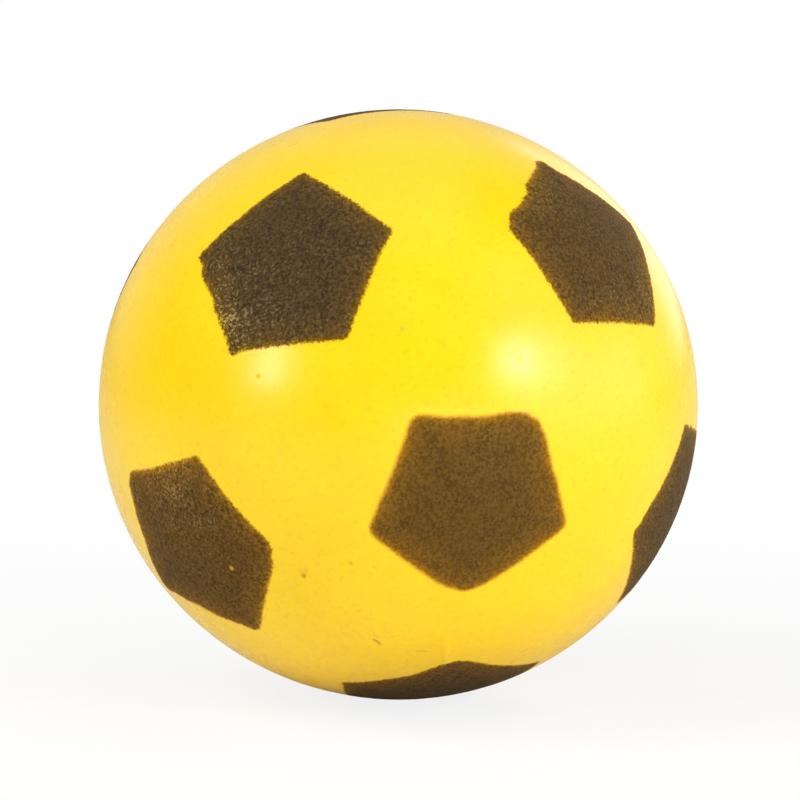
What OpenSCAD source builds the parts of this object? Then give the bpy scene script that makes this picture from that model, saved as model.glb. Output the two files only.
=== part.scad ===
// Soft foam play ball with the twelve printed pentagons of the traditional football pattern.
// The origin is the ball's centre and +Z is up. The front, at -Y, shows four whole pentagons.

/* [Ball] */
// Diameter over the moulded skin
ball_d = 200; // [170:1:260]
// Thickness of the closed skin that the mould leaves round the open foam
skin_wall = 1.6; // [1.2:0.1:4]

/* [Printed pentagons] */
// Distance from a pentagon's own axis to its corners
pentagon_reach = 35.5; // [24:0.5:40]
// Depth to which the ink has soaked into the skin
ink_depth = 0.6; // [0.4:0.05:0.9]
// Radius of a printed corner
corner_r = 1.5; // [0.5:0.25:2]

/* [Mould marks] */
// Width of the fine groove where the two mould halves met
parting_w = 0.8; // [0.4:0.1:1.2]
// Depth of that groove
parting_depth = 0.2; // [0.1:0.05:0.25]
// Length of the low bead left where the filling gate was trimmed off
gate_l = 7; // [4:0.5:12]
// Width of the gate bead
gate_w = 1.8; // [1.2:0.1:2.4]
// Height of the gate bead above the skin
gate_rise = 0.25; // [0.1:0.05:0.4]
// Width of the open pits that air bubbles left in the skin
pit_w = 1.2; // [0.6:0.1:2]
// Length of the one pit that is drawn out into a slit
slit_l = 2.8; // [2.2:0.2:5]

/* [Fit] */
// Space between a soaked pentagon, or the foam, and the skin that holds it
seat_gap = 0.05; // [0.02:0.01:0.1]

/* [Hidden] */
$fn = 120;

ball_r = ball_d / 2;
skin_inner_r = ball_r - skin_wall;
ink_floor_r = ball_r - ink_depth;
// What a cutting shape runs past the surface that it cuts
overrun = 1;

// The pattern has a pentagon at each pole and two rings of five between them
corners = 5;
step = 360 / corners;
ring_lean = atan(2);
// How the ball happens to lie: turned about X, then Y, then Z
pattern_turn = [-14, 2, 33];

// Lean from the pole, bearing round it, and the spin that points the corners at the neighbours
pole_places = [[0, 0, 0], [180, 0, 0]];
upper_places = [for (k = [0:corners - 1]) [ring_lean, k * step, step * 2.5]];
lower_places = [for (k = [0:corners - 1]) [180 - ring_lean, (k + 0.5) * step, 0]];
places = concat([pole_places[0]], upper_places, lower_places, [pole_places[1]]);

// Printing errors, in degrees: the pentagon's drift about its own X and Y, and its twist
print_errors = [
    [-3, 3.5, 9],
    [0, 0, 0],
    [0, 0, 0],
    [5.5, -7.5, -14],
    [-0.5, 1, 0.5],
    [0, 0.5, -2.5],
    [0, 0, 0],
    [0, 0, 0],
    [-1.5, 0.5, 1.5],
    [1, -2, -3.5],
    [3, 1, 0],
    [3.5, -0.5, 3]
];
// Shares of the reach for the five corners of each pentagon, as the stencil stretched them
even_shares = [1, 1, 1, 1, 1];
corner_shares = [
    even_shares,
    even_shares,
    even_shares,
    0.96 * even_shares,
    [1.08, 0.98, 0.97, 1, 0.97],
    [1.02, 0.98, 1.05, 0.97, 1.14],
    even_shares,
    even_shares,
    [0.98, 1, 1.03, 0.98, 1.17],
    [0.94, 0.95, 1.01, 0.99, 0.98],
    0.96 * even_shares,
    1.05 * even_shares
];
// Share of corner_r that each pentagon's corners have: the front middle one was printed softly
rounding_shares = [1, 1, 1, 1, 1.2, 1, 1, 1, 1, 2.5, 1, 1];
arc_steps = 5;

// Marks on the skin: angle round the ball from the front, then angle above its middle, in degrees
parting_tilt = 44;
gate_angles = [12.5, -46];
slit_angles = [-6.5, -44];
slit_roll = 50;
round_pit_angles = [[-20.5, -26.5], [-8.5, -23.5], [7.5, -47.5]];

function unit(v) = v / norm(v);
function turned(v, a) = [v.x * cos(a) - v.y * sin(a), v.x * sin(a) + v.y * cos(a)];

// Points of the arc of radius r that rounds the corner p between its neighbours a and b
function corner_arc(a, p, b, r) =
    let (
        to_a = unit(a - p),
        to_b = unit(b - p),
        half = acos(to_a * to_b) / 2,
        middle = p + unit(to_a + to_b) * r / sin(half),
        start = p + to_a * r / tan(half) - middle,
        sweep = 180 - 2 * half
    )
    [for (s = [0:arc_steps]) middle + turned(start, sweep * s / arc_steps)];

// Outline of pentagon i, seen along its own axis and drawn in by inset
function outline(i, inset) =
    let (
        spin = places[i][2] + print_errors[i][2],
        widening = inset / cos(step / 2),
        tips = [
            for (k = [0:corners - 1])
                turned([pentagon_reach * corner_shares[i][k] - widening, 0], spin + k * step)
        ]
    )
    [
        for (k = [0:corners - 1])
            each corner_arc(
                tips[(k + corners - 1) % corners],
                tips[k],
                tips[(k + 1) % corners],
                corner_r * rounding_shares[i]
            )
    ];

// Puts its children on pentagon i's own axis, with that axis along Z
module on_pentagon(i) {
    rotate(pattern_turn)
        rotate([0, places[i][0], places[i][1]])
            rotate([print_errors[i][0], print_errors[i][1], 0])
                children();
}

// The layer of the ball between two radii
module layer(outer_r, inner_r) {
    difference() {
        sphere(r = outer_r);
        sphere(r = inner_r);
    }
}

// A straight column with pentagon i's outline, from below its lowest corner to past the skin
module column(i, inset) {
    longest_reach = pentagon_reach * max(corner_shares[i]);
    foot = sqrt(skin_inner_r ^ 2 - longest_reach ^ 2) - overrun;
    on_pentagon(i)
        translate([0, 0, foot])
            linear_extrude(height = ball_r + overrun - foot)
                polygon(outline(i, inset));
}

// The pocket that pentagon i's ink fills
module pocket(i) {
    intersection() {
        column(i, 0);
        layer(ball_r + overrun, ink_floor_r);
    }
}

// Parting groove: a fine ring round the whole ball, in the plane where the mould opened
module parting_groove() {
    tool_r = (parting_w ^ 2 / 4 + parting_depth ^ 2) / (2 * parting_depth);
    rotate([parting_tilt, 0, 0])
        rotate_extrude()
            translate([ball_r - parting_depth + tool_r, 0])
                circle(r = tool_r);
}

// Turns its children from the front, at -Y, to a place on the skin
module on_skin(angles) {
    rotate([0, 0, angles[0]])
        rotate([-angles[1], 0, 0])
            rotate([90, 0, 0])
                children();
}

// Low bead of width w and length l on the skin, highest in its middle: the top of a sunk barrel
module low_bead(w, l, rise) {
    across_r = (w ^ 2 / 4 + rise ^ 2) / (2 * rise);
    along_r = (l ^ 2 / 4 + rise ^ 2) / (2 * rise);
    translate([0, 0, ball_r + rise - across_r])
        rotate([90, 0, 0])
            rotate_extrude()
                intersection() {
                    translate([across_r - along_r, 0])
                        circle(r = along_r);
                    translate([0, -l / 2 - rise])
                        square([across_r, l + 2 * rise]);
                }
}

// Pointed tool of width w and length l that lies in the skin's surface and cuts half its width deep
module slit_tool(w, l) {
    side_r = (w ^ 2 + l ^ 2) / (4 * w);
    translate([0, 0, ball_r])
        rotate([90, 0, 0])
            rotate_extrude()
                intersection() {
                    translate([w / 2 - side_r, 0])
                        circle(r = side_r);
                    translate([0, -l / 2])
                        square([w / 2, l]);
                }
}

module foam_core() {
    color("khaki")
        sphere(r = skin_inner_r - seat_gap);
}

module skin() {
    color("gold")
        difference() {
            union() {
                sphere(r = ball_r);
                on_skin(gate_angles)
                    low_bead(gate_w, gate_l, gate_rise);
            }
            sphere(r = skin_inner_r);
            parting_groove();
            for (i = [0:len(places) - 1])
                pocket(i);
            on_skin(slit_angles)
                rotate([0, 0, slit_roll])
                    slit_tool(pit_w, slit_l);
            for (angles = round_pit_angles)
                on_skin(angles)
                    translate([0, 0, ball_r])
                        sphere(d = pit_w);
        }
}

// The pentagon-shaped part of the skin that the ink has soaked, flush with the skin round it
module soaked_pentagon(i) {
    color("darkolivegreen")
        difference() {
            intersection() {
                column(i, seat_gap);
                layer(ball_r, ink_floor_r + seat_gap);
            }
            parting_groove();
        }
}

module pentagon_top() soaked_pentagon(0);
module pentagon_upper_right_back() soaked_pentagon(1);
module pentagon_upper_back() soaked_pentagon(2);
module pentagon_upper_left() soaked_pentagon(3);
module pentagon_front_upper_left() soaked_pentagon(4);
module pentagon_front_upper_right() soaked_pentagon(5);
module pentagon_lower_right_back() soaked_pentagon(6);
module pentagon_lower_left_back() soaked_pentagon(7);
module pentagon_front_lower_left() soaked_pentagon(8);
module pentagon_front_middle() soaked_pentagon(9);
module pentagon_lower_right() soaked_pentagon(10);
module pentagon_bottom() soaked_pentagon(11);

foam_core();
skin();
pentagon_top();
pentagon_upper_right_back();
pentagon_upper_back();
pentagon_upper_left();
pentagon_front_upper_left();
pentagon_front_upper_right();
pentagon_lower_right_back();
pentagon_lower_left_back();
pentagon_front_lower_left();
pentagon_front_middle();
pentagon_lower_right();
pentagon_bottom();
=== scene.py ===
from math import atan, cos, degrees, radians, sin

import bmesh
import bpy
import numpy as np
from mathutils import Matrix, Vector


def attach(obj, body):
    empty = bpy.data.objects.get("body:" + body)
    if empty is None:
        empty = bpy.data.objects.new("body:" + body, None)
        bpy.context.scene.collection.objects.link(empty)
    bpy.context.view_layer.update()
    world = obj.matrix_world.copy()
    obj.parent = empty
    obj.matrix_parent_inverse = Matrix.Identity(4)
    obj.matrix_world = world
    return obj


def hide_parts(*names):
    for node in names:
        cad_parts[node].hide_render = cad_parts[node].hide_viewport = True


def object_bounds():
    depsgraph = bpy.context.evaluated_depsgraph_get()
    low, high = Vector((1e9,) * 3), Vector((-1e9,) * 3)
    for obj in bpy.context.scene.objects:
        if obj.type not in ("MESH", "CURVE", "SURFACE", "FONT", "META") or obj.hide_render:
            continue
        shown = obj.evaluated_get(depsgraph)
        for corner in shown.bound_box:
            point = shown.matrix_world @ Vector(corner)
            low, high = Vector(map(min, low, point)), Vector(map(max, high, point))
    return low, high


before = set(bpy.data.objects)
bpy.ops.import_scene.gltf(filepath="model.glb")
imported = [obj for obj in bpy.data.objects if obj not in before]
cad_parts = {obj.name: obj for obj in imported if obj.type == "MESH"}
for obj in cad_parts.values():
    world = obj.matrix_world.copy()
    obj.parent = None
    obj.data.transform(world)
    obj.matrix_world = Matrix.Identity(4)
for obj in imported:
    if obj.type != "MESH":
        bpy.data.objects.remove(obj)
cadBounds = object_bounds()
metre = 1000  # millimetres
ballRadius = 100.0  # of the plain ball on which the pattern and the marks are laid out
body = "root"
print("frame loaded:", len(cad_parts), "nodes")


# shapes: helpers

# large odd numbers that scramble the number of a lattice corner
lattice = {"axes": [73856093, 19349663, 83492791], "seed": 7919, "mix": 1274126177}


def lumps(points, size, seed):
    # Soft random lumps from -1 to 1: every corner of a lattice of cubes of the given size has a
    # random height, and a point gets the smooth blend of the eight heights round it. The height
    # is made from 16 bits of the corner's scrambled number
    scaled = points / size
    cell = np.floor(scaled).astype(np.int64)
    part = scaled - cell
    ease = part * part * (3 - 2 * part)
    total = np.zeros(len(points))
    for corner in range(8):
        step = np.array([corner & 1, corner >> 1 & 1, corner >> 2])
        key = ((cell + step) * lattice["axes"]).sum(axis=1) + seed * lattice["seed"]
        key = (key ^ (key >> 13)) * lattice["mix"]
        height = ((key ^ (key >> 16)) & 65535) / 32767.5 - 1
        total += height * np.where(step, ease, 1 - ease).prod(axis=1)
    return total


def layers(points, settings, shift=0):
    # The sum of several sizes of lumps, each as (size, depth, seed), with the shift on every seed
    return sum(depth * lumps(points, size, seed + shift) for size, depth, seed in settings)


def smooth(value, start, end):
    # 0 before start, 1 after end, and an S-shaped rise between them
    share = np.clip((value - start) / (end - start), 0, 1)
    return share * share * (3 - 2 * share)


def bell(away, width):
    # 1 where away is 0, 0.37 where it is the width, and nothing far off
    return np.exp(-((away / width) ** 2))


def raised(pair, amount):
    # The pair's first value, with its second times the amount added
    return pair[0] + pair[1] * amount


def turn(*steps):
    # One rotation out of several about the axes, the last step made first
    whole = np.eye(3)
    for axis, angle in steps:
        whole = whole @ np.array(Matrix.Rotation(radians(angle), 3, axis))
    return whole


def towards(bearing, height):
    # Direction from the ball's middle: bearing from the front towards +X, height above the middle
    b, h = radians(bearing), radians(height)
    return np.array([sin(b) * cos(h), -cos(b) * cos(h), sin(h)])


def unit(vectors):
    # Every vector divided by its length
    return vectors / np.linalg.norm(vectors, axis=-1, keepdims=True)


def squareSheets(cells):
    # Six square sheets that wrap a ball evenly: the point (u, v) of a sheet, each from -1 to 1,
    # has the direction of normal + tan(45 u) right + tan(45 v) up. In the UV map the sheets are
    # squares, three across and two up, each a little smaller than its share
    share = 0.49
    stop = np.linspace(-1, 1, cells + 1)
    u, v = (g.ravel()[:, None] for g in np.meshgrid(stop, stop, indexing="ij"))
    i, j = (g.ravel() for g in np.meshgrid(np.arange(cells), np.arange(cells), indexing="ij"))
    low = i * (cells + 1) + j
    quad = np.stack([low, low + cells + 1, low + cells + 2, low + 1], axis=1)
    axes = np.eye(3)
    directions, quads, maps = [], [], []
    for sheet in range(6):
        normal = axes[sheet % 3] * (1 if sheet < 3 else -1)
        right = axes[(sheet + 1) % 3]
        up = np.cross(normal, right)
        directions.append(normal + np.tan(u * np.pi / 4) * right + np.tan(v * np.pi / 4) * up)
        quads.append(quad + sheet * len(u))
        square = np.hstack([u, v]) * share + 0.5
        maps.append((square + [sheet % 3, sheet // 3]) / [3, 2])
    directions, quads = unit(np.vstack(directions)), np.vstack(quads)
    maps = np.vstack(maps)[quads.ravel()]
    # a point on a seam, which two or three sheets have, becomes one
    rounded = np.round(directions, 6)
    first, shared = np.unique(rounded, axis=0, return_index=True, return_inverse=True)[1:]
    return directions[first], shared.ravel()[quads], maps


def makeMesh(name, points, faces, maps):
    # A mesh from arrays: points, faces of four corners each (or three, with -1 as the fourth), and
    # the place of every face's corners in the UV map
    mesh = bpy.data.meshes.new(name)
    corners = faces.ravel()
    corners = corners[corners >= 0]
    sizes = (faces >= 0).sum(axis=1)
    mesh.vertices.add(len(points))
    mesh.vertices.foreach_set("co", np.ascontiguousarray(points, dtype=np.float32).ravel())
    mesh.loops.add(len(corners))
    mesh.loops.foreach_set("vertex_index", corners.astype(np.int32))
    mesh.polygons.add(len(faces))
    mesh.polygons.foreach_set("loop_start", (np.cumsum(sizes) - sizes).astype(np.int32))
    mesh.polygons.foreach_set("loop_total", sizes.astype(np.int32))
    mesh.update(calc_edges=True)
    mesh.polygons.foreach_set("use_smooth", np.ones(len(faces), dtype=bool))
    layer = mesh.uv_layers.new(name="OFBake")
    layer.data.foreach_set("uv", np.ascontiguousarray(maps, dtype=np.float32).ravel())
    mesh.validate()
    return mesh


def setAttribute(mesh, name, values):
    # One value at each point of a mesh, for its material to read
    layer = mesh.attributes.new(name, "FLOAT", "POINT")
    layer.data.foreach_set("value", values.astype(np.float32))


def place(name, mesh, material, node):
    # Puts a finished mesh in the scene as the piece that stands for one CAD node
    piece = bpy.data.objects.new(name, mesh)
    bpy.context.scene.collection.objects.link(piece)
    mesh.materials.append(material)
    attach(piece, body)
    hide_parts(node)
    return piece


# materials: helpers

class Wire:
    # One output of a node. Sums written with it add the Math nodes for them
    def __init__(self, finish, socket):
        self.finish, self.socket = finish, socket

    def maths(self, operation, first, second):
        return self.finish.node("Math", {"operation": operation}, {0: first, 1: second})

    def __add__(self, other):
        return self.maths("ADD", self, other)

    def __radd__(self, other):
        return self.maths("ADD", other, self)

    def __sub__(self, other):
        return self.maths("SUBTRACT", self, other)

    def __rsub__(self, other):
        return self.maths("SUBTRACT", other, self)

    def __mul__(self, other):
        return self.maths("MULTIPLY", self, other)

    def __rmul__(self, other):
        return self.maths("MULTIPLY", other, self)


class Finish:
    # The nodes of one material, or of the world
    def __init__(self, name, owner=None):
        self.owner = owner or bpy.data.materials.new(name)
        self.owner.use_nodes = True
        self.tree = self.owner.node_tree
        self.tree.nodes.clear()

    def node(self, kind, settings=None, sockets=None, out=0):
        made = self.tree.nodes.new("ShaderNode" + kind)
        for key, value in (settings or {}).items():
            setattr(made, key, value)
        for key, value in (sockets or {}).items():
            if isinstance(value, Wire):
                self.tree.links.new(value.socket, made.inputs[key])
            else:
                made.inputs[key].default_value = value
        return Wire(self, made.outputs[out]) if made.outputs else made

    def step(self, value, start, end):
        # 0 before start and 1 after end, smoothly
        settings = {"interpolation_type": "SMOOTHSTEP"}
        return self.node("MapRange", settings, {"Value": value, "From Min": start, "From Max": end})

    def blend(self, factor, first, second, how="MIX"):
        settings = {"data_type": "RGBA", "blend_type": how}
        return self.node("Mix", settings, {0: factor, 6: first, 7: second}, out=2)

    def noise(self, look, shift=0.0):
        # Soft noise from 0 to 1 on object coordinates, with lumps about as wide as the look's size
        where = self.node("TexCoord", out="Object")
        shift = shift + look.get("shift", 0.0)
        if shift:
            sockets = {0: where, 1: (shift, shift, shift)}
            where = self.node("VectorMath", {"operation": "ADD"}, sockets)
        scale, detail = metre / look["size"], look.get("detail", 2.0)
        return self.node("TexNoise", None, {"Vector": where, "Scale": scale, "Detail": detail})

    def patches(self, look, shift=0.0):
        # Noise sharpened into patches: 0 and 1 at the two noise values of the look's span
        return self.step(self.noise(look, shift), *look["span"])

    def holes(self, look):
        # 1 in the middle of scattered round holes and 0 between them, by the look's two distances
        # from the middle, in shares of the holes' spacing
        where = self.node("TexCoord", out="Object")
        sockets = {"Vector": where, "Scale": metre / look["size"]}
        return self.step(self.node("TexVoronoi", None, sockets), *look["span"])

    def attribute(self, name):
        # A value that the mesh has at each of its points
        return self.node("Attribute", {"attribute_name": name}, out="Fac")

    def bump(self, height, strength, depth):
        sockets = {"Height": height, "Strength": strength, "Distance": depth / metre}
        return self.node("Bump", None, sockets)

    def mirrored(self):
        # 1 for what is seen in gloss or through glass
        glossy = self.node("LightPath", out="Is Glossy Ray")
        through = self.node("LightPath", out="Is Transmission Ray")
        return self.node("Math", {"operation": "MAXIMUM"}, {0: glossy, 1: through})

    def shader(self, sockets):
        return self.node("BsdfPrincipled", None, sockets)

    def surface(self, shader):
        self.node("OutputMaterial", None, {"Surface": shader})
        return self.owner


# the printed pattern

pattern = {
    "turn": (("Z", 33), ("Y", 2), ("X", -14)),  # how the ball lies
    "ringLean": degrees(atan(2)),  # from the pole to the first ring of five
    "corners": 5,
    "sharpness": 90,  # of the corners; lower is rounder
    "margin": 2.4,  # thin skin-coloured border that the print's piece carries round the ink
    "fray": [(3.1, 0.22, 40), (1.3, 0.12, 60)],  # size, depth and seed of the lumps in the outline
    "frayRing": 30,  # radius of the circle along which they are read
    "bearingStep": 0.25,  # between the bearings at which an outline is worked out
    "cap": 0.8,  # cosine of the angle from a print's middle within which all of it lies
    "farOff": 50.0,  # distance that stands for every place outside the cap
}

# Each print: how far it drifted about its own X and Y and its twist, in degrees, then five edges
# as (turn in degrees, distance in millimetres), bites and bulges as (bearing, depth, half width in
# degrees), how it took the ink, worn spots as (bearing, height, size, amount) on the ball, and one
# bare spot as (bearing, height, size)
plainEdges = [(0.6, 30.2), (-0.5, 30.7), (0.4, 30.0), (-0.8, 30.6), (0.3, 30.4)]
prints = [
    {
        "node": "pentagon_top",
        "drift": (-3, 0.6),
        "twist": 9,
        "edges": [(0.4, 30.2), (-0.6, 30.0), (0, 32.0), (-9.4, 29.6), (1.5, 29.0)],
        "sharpness": 40,
    },
    {"node": "pentagon_upper_right_back", "warmth": 0.4},
    {"node": "pentagon_upper_back", "warmth": 0.2, "fray": 1.2},
    {
        "node": "pentagon_upper_left",
        "drift": (5.5, -7.5),
        "twist": -14,
        "edges": [(0.5, 29.2), (-0.4, 29.6), (3, 29.4), (12, 30.6), (-4, 26.8)],
    },
    {
        "node": "pentagon_front_upper_left",
        "drift": (-0.5, 1),
        "twist": 0.5,
        "edges": [(2.1, 31.8), (3.5, 29.05), (-1.1, 29.7), (-0.2, 30.3), (-4.2, 31.8)],
        "bites": [
            (0, -0.8, 6), (40, 0.5, 16), (69, -0.5, 4), (77, 0.7, 3), (86, -0.7, 5), (102, 0.7, 8),
            (144.5, -1.5, 5), (284, -0.7, 7),
        ],
        "tone": 0.87,
        "worn": [(-40, 25, 26, 0.5), (-37, 22, 11, 0.4)],
    },
    {
        "node": "pentagon_front_upper_right",
        "drift": (0, 0.5),
        "twist": -2.5,
        "edges": [(6.1, 28.7), (-1.8, 33.6), (0.6, 32.4), (-4.3, 28.6), (4.3, 30.0)],
        "bites": [
            (10, 0.8, 6), (36, -0.6, 6), (46, 0.8, 4), (71, -2.1, 7), (216, -1.0, 7),
            (252, 0.5, 14), (284, 0.5, 8), (309, 0.5, 4), (326, 0.8, 6), (357, -3.5, 5),
        ],
        "warmth": 0.4,
        "worn": [(52, 23, 14, 0.4), (66, 26, 12, 0.5), (47, 50, 12, 0.4)],
    },
    {"node": "pentagon_lower_right_back", "warmth": 0.3},
    {"node": "pentagon_lower_left_back", "warmth": 0.5, "fray": 0.8},
    {
        "node": "pentagon_front_lower_left",
        "drift": (-1.5, 0.5),
        "twist": 1.5,
        "edges": [(0.4, 31.9), (1.3, 33.2), (-1.7, 31.0), (-9.4, 29.5), (4.7, 29.0)],
        "bites": [
            (1, -1.7, 4), (73, 2.4, 5), (133, -0.5, 12), (180, 0.6, 8), (218, -2.2, 7),
            (256, 1.8, 14), (290, -4.5, 4.5), (320, 1.4, 12),
        ],
        "warmth": 0.85,
        "tone": 0.92,
        "worn": [(-48, -12, 26, 0.55), (-46, -10, 12, 0.4)],
        "bare": (-37.2, -26.3, 1.3),
    },
    {
        "node": "pentagon_front_middle",
        "drift": (1, -2),
        "twist": -3.5,
        "edges": [(0.8, 29.2), (0.3, 28.4), (2.5, 29.1), (0.4, 30.5), (1.1, 31.1)],
        "bites": [
            (357, 1.8, 8), (70, -0.7, 8), (110, 0.5, 5), (133, -0.5, 6), (147, 1.3, 3),
            (160, -0.5, 7), (180, 0.5, 8), (215, -1.5, 8), (250, 0.2, 14), (310, 0.3, 25),
        ],
        "sharpness": 26,
        "warmth": 1.0,
        "tone": 0.97,
        "worn": [(16, -4, 12, 0.35)],
        "bleed": 1.0,
        "fray": 0.5,
    },
    {
        "node": "pentagon_lower_right",
        "drift": (3, 1),
        "edges": [(0.6, 30.2), (-0.5, 30.4), (0, 28.6), (-2.9, 31.2), (2.1, 33.2)],
        "bites": [(205, -0.7, 1.6), (209, 0.6, 1.8), (287, 1.8, 5)],
        "warmth": 0.25,
    },
    {
        "node": "pentagon_bottom",
        "drift": (3.5, -0.5),
        "twist": 3,
        "edges": [(-1.5, 32.6), (-0.5, 32.0), (0, 27.8), (-3.5, 32.4), (2.5, 34.5)],
        "bites": [(290, 2.0, 5), (318, 0.9, 14)],
        "warmth": 0.3,
    },
]
printDefaults = {
    "drift": (0, 0),
    "twist": 0,
    "edges": None,  # plainEdges, begun at another one for each print
    "bites": [],
    "sharpness": pattern["sharpness"],
    "warmth": 0.0,  # from cool black-brown at 0 to warm brown at 1
    "tone": 1.0,  # share of the ink's plain brightness
    "worn": [],
    "bleed": 0.4,  # how far the ink ran out past its outline
    "fray": 1.0,  # how rough the outline and how coarse the grain is
    "bare": None,
}


def setPlaces():
    # Lean from the pole, bearing round it and spin of the twelve pentagons, as in the CAD source
    lean, step = pattern["ringLean"], 360 / pattern["corners"]
    upper = [(lean, step * k, 180) for k in range(pattern["corners"])]
    lower = [(180 - lean, step * k + step / 2, 0) for k in range(pattern["corners"])]
    return [(0, 0, 0), *upper, *lower, (180, 0, 0)]


def setPrint(number, given, spot):
    # All that one print needs: its values, its seed, its frame, whose Z is the print's own axis,
    # and the bearing and distance of its five edge lines
    one = {**printDefaults, **given, "seed": number + 1}
    lean, bearing, spin = spot
    driftX, driftY = one["drift"]
    one["frame"] = turn(*pattern["turn"], ("Z", bearing), ("Y", lean), ("Y", driftY), ("X", driftX))
    one["start"] = spin + one["twist"]
    edges = one["edges"] or np.roll(plainEdges, number, axis=0)
    step = 360 / pattern["corners"]
    first = one["start"]
    lines = [(first + step * k + step / 2 + slant, far) for k, (slant, far) in enumerate(edges)]
    one["lines"] = np.array(lines)
    return one


def outline(one, bearing):
    # Radius of a pentagon at each bearing, on the flat that touches the ball at its middle: the
    # power mean of its edge lines, whose power sets how sharp the corners are, less a bell at each
    # of its bites, and with the lumps of its fray
    across = np.cos(np.radians(bearing[:, None] - one["lines"][:, 0])) / one["lines"][:, 1]
    power = one["sharpness"]
    radius = (np.clip(across, 0, None) ** power).sum(axis=1) ** (-1 / power)
    for where, depth, half in one["bites"]:
        away = (bearing - one["start"] - where + 180) % 360 - 180
        radius = radius - depth * bell(away, half)
    a = np.radians(bearing)
    ring = np.stack([np.cos(a), np.sin(a), np.zeros_like(a)], axis=1) * pattern["frayRing"]
    return radius + one["fray"] * layers(ring, pattern["fray"], one["seed"])


def slantOf(one, bearing):
    # Share of a radial distance that is square to the outline: its radius over the hypotenuse of
    # radius and slope, with the slope averaged over about four degrees
    side = 0.5  # degrees to each side between which the slope is taken
    reach = 8  # bearings to each side in the average
    rise = (outline(one, bearing + side) - outline(one, bearing - side)) / (2 * radians(side))
    rise = np.r_[rise[-reach:], rise, rise[:reach]]
    rise = np.convolve(rise, np.ones(2 * reach + 1) / (2 * reach + 1), "valid")
    radius = outline(one, bearing)
    return radius / np.hypot(radius, rise)


bearings = np.arange(0, 360, pattern["bearingStep"])
prints = [setPrint(n, given, spot) for n, (given, spot) in enumerate(zip(prints, setPlaces()))]
for one in prints:
    one["radii"] = outline(one, bearings)
    one["slants"] = slantOf(one, bearings)
print("pattern set:", len(prints), "prints")


def atBearing(one, key, bearing):
    # A print's radius or slant at any bearing, between the ones worked out
    return np.interp(bearing, bearings, one[key], period=360)


def inkDistance(directions, one):
    # Distance in millimetres outside (+) or inside (-) a print's outline: how far a point lies past
    # the outline on its own bearing, on the flat that touches the ball at the print's middle,
    # times the slant there. A point outside the print's cap gets farOff
    local = directions @ one["frame"]
    near = local[:, 2] > pattern["cap"]
    flat = local[near, :2] / local[near, 2:] * ballRadius
    bearing = np.degrees(np.arctan2(flat[:, 1], flat[:, 0])) % 360
    away = np.full(len(directions), pattern["farOff"])
    past = np.hypot(*flat.T) - atBearing(one, "radii", bearing)
    away[near] = past * atBearing(one, "slants", bearing)
    return away


# the ball's surface

skin = {
    "radius": max(cadBounds[1]) * metre - 0.45,  # leaves room for the waves in the CAD box
    "flatness": 0.9838,  # the ball stands on the floor a little flatter than it is wide
    "cells": 160,  # along one side of each of the six sheets
    "fine": (3.2, 2.2),  # from a mark within which the cells are halved once, and once more
    "share": ((1, 0.94), (0, 0.06)),  # size and start of the outer side's share of the UV map
    "wall": 1.6,
    "liningCells": 20,  # the same as cells, for the wall's inner side
    "liningShare": (1, 0.05),  # size of its share of the UV map, which starts at the corner
    "pocket": 0.5,  # depth of the seat that a print fills
    "pocketSlope": (0.1, 1.8),  # inside the outline, where the seat starts and is at its depth
    # size, depth and seed
    "waves": [(46, 0.10, 11), (17, 0.045, 12), (6.5, 0.009, 13), (2.8, 0.003, 14)],
    # bearing, height, width and depth of the open pits
    "pits": [
        (-20.1, -26.8, 0.65, 0.45),
        (-9.7, -23.4, 0.7, 0.4),
        (-4.9, -24.0, 0.7, 0.2),
        (-12.1, -27.1, 0.6, 0.15),
        (0.6, 22.3, 0.6, 0.35),
        (-27.6, 12.5, 0.5, 0.25),
    ],
    # from and to as bearing and height, width and depth of pits drawn out into slits
    "slits": [
        ((-6.2, -43.0), (-4.8, -44.5), 0.55, 0.6),
        ((5.1, -46.8), (7.8, -47.0), 0.6, 0.3),
        ((-20.7, -25.5), (-20.1, -26.8), 0.6, 0.25),
        ((-19.0, -25.1), (-20.1, -26.8), 0.6, 0.2),
    ],
    "taper": (0.35, 0.65),  # share of a slit's depth at its ends, and what its middle has more
    # the gate's bead, as a slit that rises
    "beads": [((11.8, -42.4), (14.3, -51.2), 1.3, -0.55)],
    # the same as pits, for the worm-shaped dent in the right highlight
    "dents": [(23.9, 16.3, 1.2, 0.12), (22.9, 17.9, 1.0, 0.06), (24.6, 14.9, 1.0, 0.05)],
    "pitShade": 2,  # painted shade: darkening for each millimetre of a pit's depth
    "slitShade": 1.6,
}

parting = {
    "tilt": 44,  # of the plane where the mould opened
    "halfWidth": 0.35,
    "depth": 0.09,
    "wander": [(30, 0.3, 15)],  # size, depth and seed of the lumps that bend it
    "fading": (24, 16),  # size and seed of the lumps that fade it
    "fadingSpan": (-0.5, 0.6),
    "left": (0.45, 0.55),  # share of its depth where it is faintest, and what is added to that
    "slimness": 2.5,  # how much less far the finer cells reach from it than from the other marks
}


def fromSpot(directions, spot):
    # Distance in millimetres from a place on the ball, straight across
    return np.linalg.norm(directions - towards(*spot), axis=1) * ballRadius


def fromLine(directions, start, end):
    # Distance in millimetres from the line between two places, and the share of it passed
    a, b = towards(*start) * ballRadius, towards(*end) * ballRadius
    points = directions * ballRadius
    share = np.clip((points - a) @ (b - a) / ((b - a) @ (b - a)), 0, 1)
    return np.linalg.norm(points - a - share[:, None] * (b - a), axis=1), share


def fromParting(directions):
    # Distance in millimetres from the plane where the mould opened, + on its upper side
    return directions @ turn(("X", parting["tilt"]))[:, 2] * ballRadius


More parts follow.
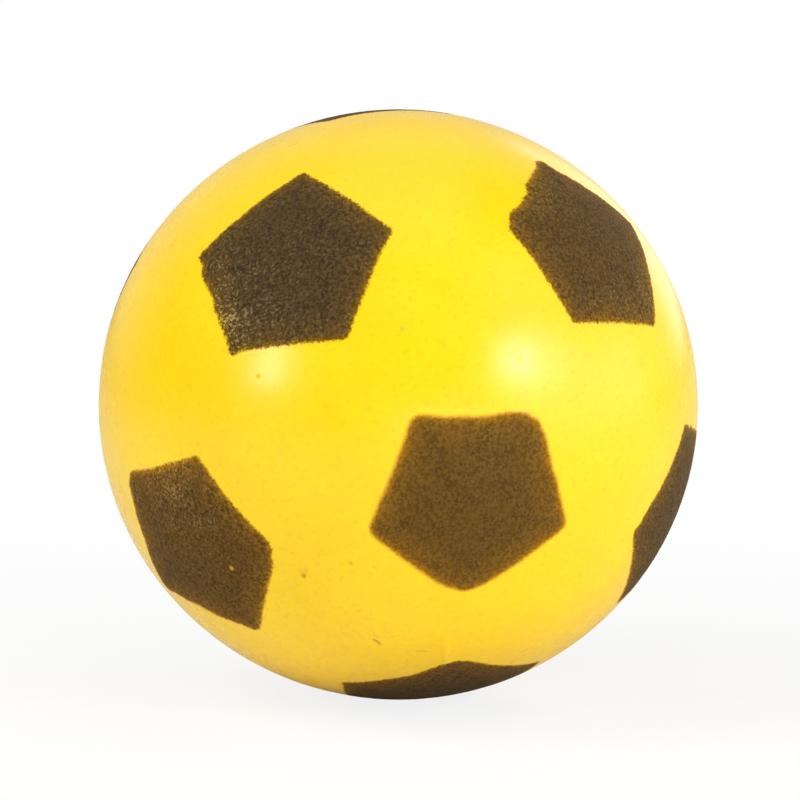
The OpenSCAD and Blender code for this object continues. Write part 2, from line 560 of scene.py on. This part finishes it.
def markReach(directions):
    # Distance in millimetres to the nearest small mark, which decides where the mesh is refined
    away = np.abs(fromParting(directions)) * parting["slimness"]
    for *spot, width, depth in skin["pits"] + skin["dents"]:
        away = np.minimum(away, fromSpot(directions, spot))
    for start, end, width, depth in skin["slits"] + skin["beads"]:
        away = np.minimum(away, fromLine(directions, start, end)[0])
    return away


def relief(directions):
    # Height of the moulded skin over its plain ball in millimetres: soft waves of four sizes, less
    # a bell across the parting groove, one at each pit and one along each slit, plus the bead
    points = directions * ballRadius
    height = layers(points, skin["waves"])
    aside = fromParting(directions) + layers(points, parting["wander"])
    plain = smooth(lumps(points, *parting["fading"]), *parting["fadingSpan"])
    depth = raised(parting["left"], plain) * parting["depth"]
    height -= depth * bell(aside, parting["halfWidth"])
    for *spot, width, depth in skin["pits"] + skin["dents"]:
        height -= depth * bell(fromSpot(directions, spot), width)
    for start, end, width, depth in skin["slits"] + skin["beads"]:
        away, share = fromLine(directions, start, end)
        height -= depth * raised(skin["taper"], np.sin(np.pi * share)) * bell(away, width)
    return height


def pitShade(directions):
    # Painted shade: 0 on the open skin and up to 1 in the pits and slits, where less light falls
    shade = np.zeros(len(directions))
    for *spot, width, depth in skin["pits"]:
        shade += depth * skin["pitShade"] * bell(fromSpot(directions, spot), width)
    for start, end, width, depth in skin["slits"]:
        shade += depth * skin["slitShade"] * bell(fromLine(directions, start, end)[0], width)
    return np.clip(shade, 0, 1)


def onBall(directions, height):
    # Points at a height over the plain ball, with the ball's slight flatness, in metres
    points = directions * (skin["radius"] + height)[:, None]
    return points * [1, 1, skin["flatness"]] / metre


# finishes

skinFinish = {
    "light": (0.99, 0.665, 0.004, 1),
    "deep": (0.98, 0.635, 0.003, 1),
    "clouds": {"size": 32, "span": (0.35, 0.65)},
    "grain": (0.86, 0.56, 0.003, 1),
    "grains": {"size": 1.7, "detail": 3.0, "span": (0.50, 0.75)},
    "grainStrength": 0.80,
    "speck": (0.72, 0.45, 0.003, 1),
    "specks": {"size": 3.4, "span": (0.13, 0.06)},
    "speckAreas": {"size": 7, "detail": 1.0, "shift": 0.3, "span": (0.52, 0.62)},
    "speckStrength": 0.3,
    # painted shade: the darker colour that the pits and slits take, by their depth
    "pit": (0.60, 0.36, 0.002, 1),
    "pores": {"size": 1.1, "detail": 3.0},
    "poreStrength": 0.06,
    "poreDepth": 0.2,
    "roughness": 0.28,
    "roughAreas": {"size": 14, "shift": 0.7, "span": (0.3, 0.7)},
    "roughSwing": (-0.02, 0.05),  # what the smoothest areas have less, and the roughest more again
    "ior": 1.43,
}


def skinColour(finish):
    # Soft clouds of two yellows, a fine grain of closed foam cells, a few darker specks, and
    # painted shade in the pits and slits
    look = skinFinish
    colour = finish.blend(finish.patches(look["clouds"]), look["deep"], look["light"])
    grain = finish.patches(look["grains"]) * look["grainStrength"]
    colour = finish.blend(grain, colour, look["grain"])
    speck = finish.holes(look["specks"]) * finish.patches(look["speckAreas"])
    colour = finish.blend(speck * look["speckStrength"], colour, look["speck"])
    # painted shade in the pits and slits, read from the pit attribute
    return finish.blend(finish.attribute("pit"), colour, look["pit"])


def skinBump(finish):
    pores = finish.noise(skinFinish["pores"])
    return finish.bump(pores, skinFinish["poreStrength"], skinFinish["poreDepth"])


def makeSkinFinish():
    finish = Finish("yellowFoamSkin")
    less, more = skinFinish["roughSwing"]
    areas = finish.patches(skinFinish["roughAreas"])
    return finish.surface(finish.shader({
        "Base Color": skinColour(finish),
        "Roughness": areas * more + (skinFinish["roughness"] + less),
        "IOR": skinFinish["ior"],
        "Normal": skinBump(finish),
    }))


ink = {
    "base": ((0.063, 0.038, 0.0105), (0.108, 0.057, 0.0065)),  # cool black-brown, warm brown
    "fleck": ((0.29, 0.21, 0.095), (0.27, 0.165, 0.05)),  # the same for the pale flecks
    "shift": 0.37,  # of the noise from one print to the next
    "grains": {"size": 1.15},
    "fineGrains": {"size": 0.6, "detail": 1.0, "shift": 2},
    "fineShare": 0.5,
    "grainSpan": (0.36, 0.64),
    "grainStrength": 0.5,  # of its bump, which is this deep
    "grainDepth": 0.4,
    "contrast": 0.51,  # how far the dark grains fall below the base and the pale ones rise over it
    "contrastFray": (0.4, 0.6),  # share of it without fray, and what a fray of 1 adds
    "clouds": {"size": 6, "detail": 4.0, "span": (0.3, 0.7)},
    "cloudTint": (1.35, 1.15, 0.8),  # the base is multiplied by this in the warmer clouds
    "cloudStrength": 0.40,
    "crumbs": {"size": 0.95, "shift": 9},  # noise whose peaks are the flecks
    "crumbsWorn": 0.10,  # added to it where the ink is worn
    "fleckSpan": (0.58, 0.70),
    "fleckStrength": (0.20, 0.72),  # on whole ink, and more where it is worn
    "thin": (1.55, 1.45, 0.95, 1),  # its colour is multiplied by this where it thins outwards
    "thinReach": -14,  # from the edge, where that starts
    "rim": (1.75, 1.6, 0.15, 1),  # and by this in its last millimetres
    "rimReach": -3.2,
    "swell": 0.18,  # millimetres that the ink spread past its outline
    "fuzz": {"size": 0.8, "shift": 3},  # noise that breaks up its edge
    "fuzzReach": (0.4, 2.4),  # of that, without fray, and what a fray of 1 adds
    "soft": (0.42, 0.45),  # half width of the soft edge, and what a bleed of 1 adds
    "amber": (0.74, 0.36, 0.004, 1),  # of the halo where it ran out into the skin
    "haloStart": (0.5, 1.5),  # past the edge, and what a bleed of 1 adds
    "haloEnd": -0.3,
    "haloFuzz": 0.3,  # share of the fuzz in it
    "haloStrength": (0.45, 0.4),  # the same for its strength
    "bareInner": 0.3,  # share of a bare spot's size within which it is at its barest
    "bareFuzz": 0.2,  # share of the fuzz in its outline
    "bareStrength": 0.6,  # share of the ink that is missing there
    "roughness": 0.75,
    "gloss": 0.14,  # 0.5 would be plain plastic
}


def inkColour(finish, one, grain, edge, shift):
    # Dark and brown grains under warmer clouds, pale flecks, more of them where it is worn, and
    # towards the edge the thinner, warmer ink
    share = np.array([[1 - one["warmth"]], [one["warmth"]]])
    base, fleck = ((np.array(ink[key]) * share).sum(axis=0) for key in ("base", "fleck"))
    base = base * one["tone"]
    swing = ink["contrast"] * raised(ink["contrastFray"], one["fray"])
    dark, pale = (*base * (1 - swing), 1), (*base * (1 + swing), 1)
    colour = finish.blend(finish.step(grain, *ink["grainSpan"]), dark, pale)
    clouds = finish.patches(ink["clouds"], shift)
    colour = finish.blend(clouds * ink["cloudStrength"], colour, (*base * ink["cloudTint"], 1))
    worn = finish.attribute("worn")
    crumbs = finish.noise(ink["crumbs"], shift) + worn * ink["crumbsWorn"]
    least, more = ink["fleckStrength"]
    flecks = finish.step(crumbs, *ink["fleckSpan"]) * (worn * more + least * one["fray"])
    colour = finish.blend(flecks, colour, (*fleck, 1))
    for key in ("thin", "rim"):
        outwards = finish.step(edge, ink[key + "Reach"], 0)
        colour = finish.blend(outwards, colour, ink[key], "MULTIPLY")
    return colour


def bareness(finish, one, fuzz):
    # 1 in the middle of the print's bare spot and 0 outside it, on a frayed round outline
    *spot, size = one["bare"]
    middle = onBall(towards(*spot), np.zeros(1))[0]
    where = finish.node("TexCoord", out="Object")
    away = finish.node("VectorMath", {"operation": "DISTANCE"}, {0: where, 1: middle}, out="Value")
    return finish.step(away * metre + fuzz * ink["bareFuzz"], size, size * ink["bareInner"])


def makeInkFinish(one):
    # Ink that soaked into open grains, with bare skin round it. Across its frayed edge it turns to
    # amber, where it ran out into the skin, and then to the skin's own finish
    finish = Finish("ink_" + one["node"].removeprefix("pentagon_"))
    shift = ink["shift"] * one["seed"]
    edge = finish.attribute("edge") - ink["swell"]
    fine = finish.noise(ink["fineGrains"], shift) - 0.5
    grain = finish.noise(ink["grains"], shift) + fine * ink["fineShare"]
    fuzz = (finish.noise(ink["fuzz"], shift) - 0.5) * raised(ink["fuzzReach"], one["fray"])

    start = raised(ink["haloStart"], one["bleed"])
    halo = finish.step(edge + fuzz * ink["haloFuzz"], start, ink["haloEnd"])
    halo = halo * raised(ink["haloStrength"], one["bleed"])
    ground = finish.blend(halo, skinColour(finish), ink["amber"])
    soft = raised(ink["soft"], one["bleed"])
    inked = finish.step(edge + fuzz, soft, -soft)
    if one["bare"]:
        inked = inked * (1 - bareness(finish, one, fuzz) * ink["bareStrength"])
    bare = finish.shader({
        "Base Color": ground,
        "Roughness": skinFinish["roughness"],
        "IOR": skinFinish["ior"],
        "Normal": skinBump(finish),
    })
    coat = finish.shader({
        "Base Color": inkColour(finish, one, grain, edge, shift),
        "Roughness": ink["roughness"],
        "Specular IOR Level": ink["gloss"],
        "Normal": finish.bump(grain, ink["grainStrength"], ink["grainDepth"]),
    })
    return finish.surface(finish.node("MixShader", None, {0: inked, 1: bare, 2: coat}))


# pieces

def refine(mesh):
    # Halves the cells of a ball's mesh round the small marks, and once more close to them
    work = bmesh.new()
    work.from_mesh(mesh)
    for reach in skin["fine"]:
        work.edges.ensure_lookup_table()
        ends = np.array([[v.index for v in e.verts] for e in work.edges])
        spots = np.array([v.co for v in work.verts])
        near = markReach(unit(spots[ends].mean(axis=1))) < reach
        chosen = [work.edges[k] for k in np.flatnonzero(near)]
        bmesh.ops.subdivide_edges(work, edges=chosen, cuts=1, use_grid_fill=True)
        work.verts.index_update()
    for face in work.faces:
        face.smooth = True
    work.to_mesh(mesh)
    work.free()


def joinMeshes(mesh, other):
    # Adds the other mesh's faces to the first and drops the other
    work = bmesh.new()
    work.from_mesh(mesh)
    work.from_mesh(other)
    work.to_mesh(mesh)
    work.free()
    bpy.data.meshes.remove(other)


def makeSkin():
    # A closed hollow ball: the outer sheets carry the relief and a seat under each print, and an
    # inner ball of coarser sheets, turned inside out, closes it round the core
    size, start = skin["share"]
    directions, quads, maps = squareSheets(skin["cells"])
    mesh = makeMesh("skin", directions, quads, maps * size + start)
    refine(mesh)
    outer = np.empty(len(mesh.vertices) * 3, dtype=np.float32)
    mesh.vertices.foreach_get("co", outer)
    outer = unit(outer.reshape(-1, 3).astype(float))
    away = np.min([inkDistance(outer, one) for one in prints], axis=0)
    height = relief(outer) - skin["pocket"] * smooth(-away, *skin["pocketSlope"])
    mesh.vertices.foreach_set("co", onBall(outer, height).astype(np.float32).ravel())
    # the painted shade of the pits and slits, which the skin's colour reads
    setAttribute(mesh, "pit", pitShade(outer))

    directions, quads, maps = squareSheets(skin["liningCells"])
    level = np.full(len(directions), -skin["wall"])
    maps = maps.reshape(-1, 4, 2)[:, ::-1].reshape(-1, 2) * skin["liningShare"]
    lining = makeMesh("lining", onBall(directions, level), quads[:, ::-1], maps)
    joinMeshes(mesh, lining)
    print("skin:", len(mesh.polygons), "faces")
    return place("skinShell", mesh, makeSkinFinish(), "skin")


core = {
    "cells": 56,  # along one side of each of its six sheets
    "gap": 0.05,  # to the skin round it
    "dent": 0.9,  # depth of its open cells
    "dips": [(5.5, 0.6, 21), (2.75, 0.4, 22)],  # size, share and seed of the lumps that sink them
    "dipSpan": (0, 0.8),
    "colours": ((0.80, 0.60, 0.16, 1), (0.88, 0.70, 0.24, 1)),
    "clouds": {"size": 11, "detail": 3.0, "span": (0.3, 0.7)},
    # painted shade: the darker colour of the small holes, which the bump sinks
    "hole": (0.42, 0.27, 0.05, 1),
    "holes": {"size": 2.2, "span": (0.5, 0.15)},
    "holeShadeStrength": 0.7,
    "bumpStrength": 0.6,
    "bumpDepth": 0.6,
    "roughness": (0.80, 0.12),  # without the clouds, and what they add
}


def makeCoreFinish():
    # Two shades of pale foam in clouds, with small sunk holes whose darker colour is painted shade
    finish = Finish("openFoam")
    clouds = finish.patches(core["clouds"])
    holes = finish.holes(core["holes"])
    colour = finish.blend(clouds, *core["colours"])
    return finish.surface(finish.shader({
        "Base Color": finish.blend(holes * core["holeShadeStrength"], colour, core["hole"]),
        "Roughness": raised(core["roughness"], clouds),
        "Normal": finish.bump(1 - holes, core["bumpStrength"], core["bumpDepth"]),
    }))


def makeCore():
    # A ball of open foam: cells sunk into its surface where the lumps of two sizes dip
    directions, quads, maps = squareSheets(core["cells"])
    dips = smooth(layers(directions * ballRadius, core["dips"]), *core["dipSpan"])
    level = -skin["wall"] - core["gap"] - core["dent"] * dips
    mesh = makeMesh("foamCore", onBall(directions, level), quads, maps)
    print("core:", len(mesh.polygons), "faces")
    return place("foamCore", mesh, makeCoreFinish(), "foam_core")


film = {
    "spokes": 480,
    "rings": 62,  # from the middle to the outline
    "crowding": 1.15,  # above 1 the rings lie closer together towards the outline
    "border": (0.25, 0.5, 0.8, 1.15, 1.6, pattern["margin"]),  # of the rings past the outline
    "leastSlant": 0.75,  # keeps the border short where the outline runs steeply
    "proud": 0.05,  # height of the print over the skin round it
    "borderFall": 0.3,  # past the outline, where the border starts to fall to its rim
    "sunk": 0.06,  # depth of the border's rim under the skin
    "grains": [(1.15, 0.045, 31), (0.6, 0.02, 32)],  # size, depth and seed
    "grainSlope": (-0.3, 0.6),  # inside the outline, where the grains start and are whole
    "rim": 0.02,  # thickness at the rim
    "thick": 0.42,  # what the middle has more
    "thickSlope": (0.2, 2.0),  # inside the outline, where it starts to and has it all
    "underStep": 3,  # the underside has every third ring
    "mapReach": 50.0,  # radius on the flat that would fill half of the UV map
    "topMap": (0.49, 0.5),  # half size and middle of the top in the UV map
    "underMap": (0.06, 0.065),  # the same for the underside, which lies in a corner
    "wear": (5, 0.5, 80),  # size, depth and seed of the lumps that make the worn spots uneven
    "wearLeast": 0.8,
}


def filmPoints(one):
    # Points of a print's film on the flat that touches the ball at its middle, and how far outside
    # the outline each is. On every spoke, ring n lies at 1 - (1 - n / rings) ^ crowding of the
    # outline's radius, and the border's rings at their distances past it, square to the outline
    count, rings = film["spokes"], film["rings"]
    spokes = np.arange(count) * 360 / count
    edge = atBearing(one, "radii", spokes)
    slant = atBearing(one, "slants", spokes)
    share = 1 - (1 - np.arange(1, rings + 1) / rings) ** film["crowding"]
    inner = edge * share[:, None]
    outer = edge + np.array(film["border"])[:, None] / np.clip(slant, film["leastSlant"], 1)
    radius = np.vstack([np.zeros((1, count)), inner, outer])
    a = np.radians(spokes)
    flat = np.stack([radius * np.cos(a), radius * np.sin(a)], axis=-1).reshape(-1, 2)
    away = ((radius - edge) * slant).ravel()
    keep = np.r_[0, np.arange(count, len(flat))]  # one point in the middle
    return flat[keep], away[keep]


def filmTop(directions, away):
    # Height of the print's top: the skin's own relief, a little proud inside the outline and
    # falling to the sunk rim across the border, with the grains of the foam under the ink
    inked = smooth(-away, *film["grainSlope"])
    grain = inked * layers(directions * ballRadius, film["grains"])
    fall = smooth(away, film["borderFall"], pattern["margin"])
    lift = film["proud"] - (film["proud"] + film["sunk"]) * fall
    return relief(directions) + lift + grain


def filmUnder(directions, away):
    # Height of its underside: the sunk rim, less a thickness that grows inwards from the outline
    thick = film["thick"] * smooth(-away, *film["thickSlope"])
    return relief(directions) - film["sunk"] - film["rim"] - thick


def filmFaces(bands):
    # The top is a fan round the middle point and a strip of quads from each ring to the next. The
    # underside, whose points follow the top's, has the same on every few rings and shares the rim
    count = film["spokes"]
    here = np.arange(count)
    after = (here + 1) % count
    none = np.full(count, -1)
    start = 1 + np.arange(bands - 1)[:, None] * count
    fan = np.column_stack([np.zeros(count, int), 1 + here, 1 + after, none])
    quad = [start + here, start + count + here, start + count + after, start + after]
    top = np.vstack([fan, np.stack(quad, axis=-1).reshape(-1, 4)])

    rings = [*range(film["underStep"], bands - 1, film["underStep"])]
    points = np.r_[0, np.concatenate([1 + (ring - 1) * count + here for ring in rings])]
    middle = 1 + bands * count
    chain = [middle + 1 + n * count for n in range(len(rings))] + [1 + (bands - 1) * count]
    under = [np.column_stack([np.full(count, middle), chain[0] + after, chain[0] + here, none])]
    for near, far in zip(chain, chain[1:]):
        under.append(np.column_stack([near + here, near + after, far + after, far + here]))
    return top, np.vstack(under), points


def filmMaps(flat, top, under, points):
    # Place of every face's corners in the UV map: the flat itself, the top across the whole map
    # and the underside small in a corner of it
    def mapped(spots, side):
        half, middle = film[side]
        return spots / film["mapReach"] * half + middle

    corners = top[top >= 0]
    low = under[under >= 0]
    spots = np.vstack([flat, flat[points]])
    return np.vstack([mapped(spots[corners], "topMap"), mapped(spots[low], "underMap")])


def wornShare(one, directions):
    # How worn the ink is, from 0 to 1: a bell at each worn spot, made uneven by lumps
    worn = np.zeros(len(directions))
    for *spot, size, amount in one["worn"]:
        worn += amount * bell(fromSpot(directions, spot), size)
    uneven = film["wearLeast"] + layers(directions * ballRadius, [film["wear"]], one["seed"])
    return np.clip(worn * uneven, 0, 1)


def makePrint(one):
    # A thin closed layer: its top follows the skin and its underside fills the seat in the skin
    flat, away = filmPoints(one)
    rise = np.full(len(flat), ballRadius)  # of the flat over the ball's middle
    directions = unit(np.column_stack([flat, rise])) @ one["frame"].T
    bands = (len(flat) - 1) // film["spokes"]
    top, under, points = filmFaces(bands)
    low = directions[points]
    spots = np.vstack([
        onBall(directions, filmTop(directions, away)),
        onBall(low, filmUnder(low, away[points])),
    ])
    maps = filmMaps(flat, top, under, points)
    mesh = makeMesh(one["node"], spots, np.vstack([top, under]), maps)
    for key, values in (("edge", away), ("worn", wornShare(one, directions))):
        setAttribute(mesh, key, np.r_[values, values[points]])
    words = one["node"].split("_")[1:]
    name = "ink" + "".join(word.capitalize() for word in words)
    return place(name, mesh, makeInkFinish(one), one["node"])


makeSkin()
makeCore()
for one in prints:
    makePrint(one)
print("prints made:", len(prints))


# floor, light and camera

studio = {
    "floor": 14.0,  # half its width
    "floorColour": (0.88, 0.88, 0.87, 1),
    "floorShown": (0.84, 1.0),  # share of plain white seen in the floor, by the ball and far off
    "floorReach": (0.12, 0.5),  # over which it changes
    "floorGleam": 0.08,  # the same share in what gloss sees
    "behind": (0.2, 0.8),  # how far back a direction points where the rear starts, and is whole
    "aside": (0.5, 0.9),  # the same to the right, where a wide screen stands
    "fill": (0.25, 0.12),  # light from the tent's front and from behind the ball
    "gleam": (0.05, 0.65),  # what gloss sees of the tent in front and behind
    "gleamRight": 1.1,  # what it sees more in the screen
    "roundLamp": 0.5,  # lamps up to this wide are round, and wider ones are boxes
}


def makeFloor():
    lowest = min(v.co.z for v in bpy.data.objects["skinShell"].data.vertices)
    half = studio["floor"]
    corners = [(x * half, y * half, lowest) for x, y in ((-1, -1), (1, -1), (1, 1), (-1, 1))]
    mesh = bpy.data.meshes.new("floor")
    mesh.from_pydata(corners, [], [(0, 1, 2, 3)])
    floor = bpy.data.objects.new("floor", mesh)
    bpy.context.scene.collection.objects.link(floor)
    finish = Finish("paleFloor")
    camera = finish.node("LightPath", out="Is Camera Ray")
    where = finish.node("TexCoord", out="Object")
    away = finish.node("VectorMath", {"operation": "LENGTH"}, {0: where}, out="Value")
    near, far = studio["floorShown"]
    shown = finish.step(away, *studio["floorReach"]) * (far - near) + near
    seen = camera * shown + (1 - camera) * finish.mirrored() * studio["floorGleam"]
    matte = finish.node("BsdfDiffuse", None, {"Color": studio["floorColour"]})
    white = finish.node("Emission", None, {"Color": (1, 1, 1, 1), "Strength": 1.0})
    shader = finish.node("MixShader", None, {0: seen, 1: matte, 2: white})
    mesh.materials.append(finish.surface(shader))


def makeWorld():
    # A tent of soft light: plain white for the camera, and for the ball dimmer, with its own
    # strengths in what lights it and in what its gloss shows
    world = bpy.data.worlds.new("softTent")
    bpy.context.scene.world = world
    finish = Finish("softTent", world)
    camera = finish.node("LightPath", out="Is Camera Ray")
    mirrored = finish.mirrored()
    where = finish.node("TexCoord", out="Generated")
    behind = finish.step(finish.node("SeparateXYZ", None, {0: where}, out="Y"), *studio["behind"])
    aside = finish.step(finish.node("SeparateXYZ", None, {0: where}, out="X"), *studio["aside"])
    front, rear = studio["fill"]
    fill = behind * (rear - front) + front
    front, rear = studio["gleam"]
    gleam = behind * (rear - front) + front + aside * (1 - behind) * studio["gleamRight"]
    strength = camera + (1 - camera) * (mirrored * gleam + (1 - mirrored) * fill)
    shader = finish.node("Background", None, {"Color": (1, 1, 1, 1), "Strength": strength})
    finish.node("OutputWorld", None, {"Surface": shader})


# Each lamp: where it hangs (bearing from the front, height), how far off it is, and its size
lamps = [
    {"name": "rightBox", "at": (75, 4), "far": 1.2, "size": (1.3, 0.7), "watts": 4.5},
    {"name": "rightBulb", "at": (60, 20), "far": 1.2, "size": (0.50, 0.40), "watts": 1.5},
    {"name": "rightSpot", "at": (47, 21), "far": 1.2, "size": (0.14, 0.22), "watts": 4.0},
    {"name": "rightHigh", "at": (60, 48), "far": 1.3, "size": (0.6, 0.5), "watts": 0.9},
    {"name": "leftBulb", "at": (-51, 18), "far": 1.2, "size": (0.28, 0.28), "watts": 1.7},
    {"name": "leftSpot", "at": (-50, 19), "far": 1.2, "size": (0.14, 0.14), "watts": 1.2},
    {"name": "leftHigh", "at": (-72, 50), "far": 1.3, "size": (0.6, 0.6), "watts": 7.6},
    {"name": "top", "at": (0, 88), "far": 1.4, "size": (1.0, 1.0), "watts": 2.6},
    {"name": "frontHigh", "at": (0, 48), "far": 1.5, "size": (0.7, 0.5), "watts": 0.3},
    {"name": "frontLow", "at": (18, 0), "far": 1.3, "size": (0.8, 0.12), "watts": 2.1},
    {"name": "backRight", "at": (150, 15), "far": 1.5, "size": (0.8, 0.8), "watts": 2.8},
    {"name": "backTop", "at": (180, 60), "far": 1.5, "size": (0.8, 0.8), "watts": 0.7},
]


def makeLamp(one):
    light = bpy.data.lights.new(one["name"], "AREA")
    light.size, light.size_y = one["size"]
    light.shape = "RECTANGLE" if one["size"][0] > studio["roundLamp"] else "ELLIPSE"
    light.energy = one["watts"]
    lamp = bpy.data.objects.new(one["name"], light)
    away = Vector(towards(*one["at"]))
    lamp.location = away * one["far"]
    lamp.rotation_euler = away.to_track_quat("Z", "Y").to_euler()
    bpy.context.scene.collection.objects.link(lamp)


camera = {
    "far": 2.4,
    "height": 8,  # degrees over the ball's middle
    "lens": 324.8,
    "sensor": 36,
    "shift": (0.0021, 0.0057),
}


def makeCamera():
    data = bpy.data.cameras.new("camera")
    data.lens = camera["lens"]
    data.sensor_width = camera["sensor"]
    data.shift_x, data.shift_y = camera["shift"]
    back = Vector(towards(0, camera["height"]))
    eye = bpy.data.objects.new("camera", data)
    eye.location = back * camera["far"]
    eye.rotation_euler = back.to_track_quat("Z", "Y").to_euler()
    bpy.context.scene.collection.objects.link(eye)
    bpy.context.scene.camera = eye


makeFloor()
makeWorld()
for one in lamps:
    makeLamp(one)
makeCamera()
bpy.context.scene.view_settings.view_transform = "Standard"
print("studio ready")
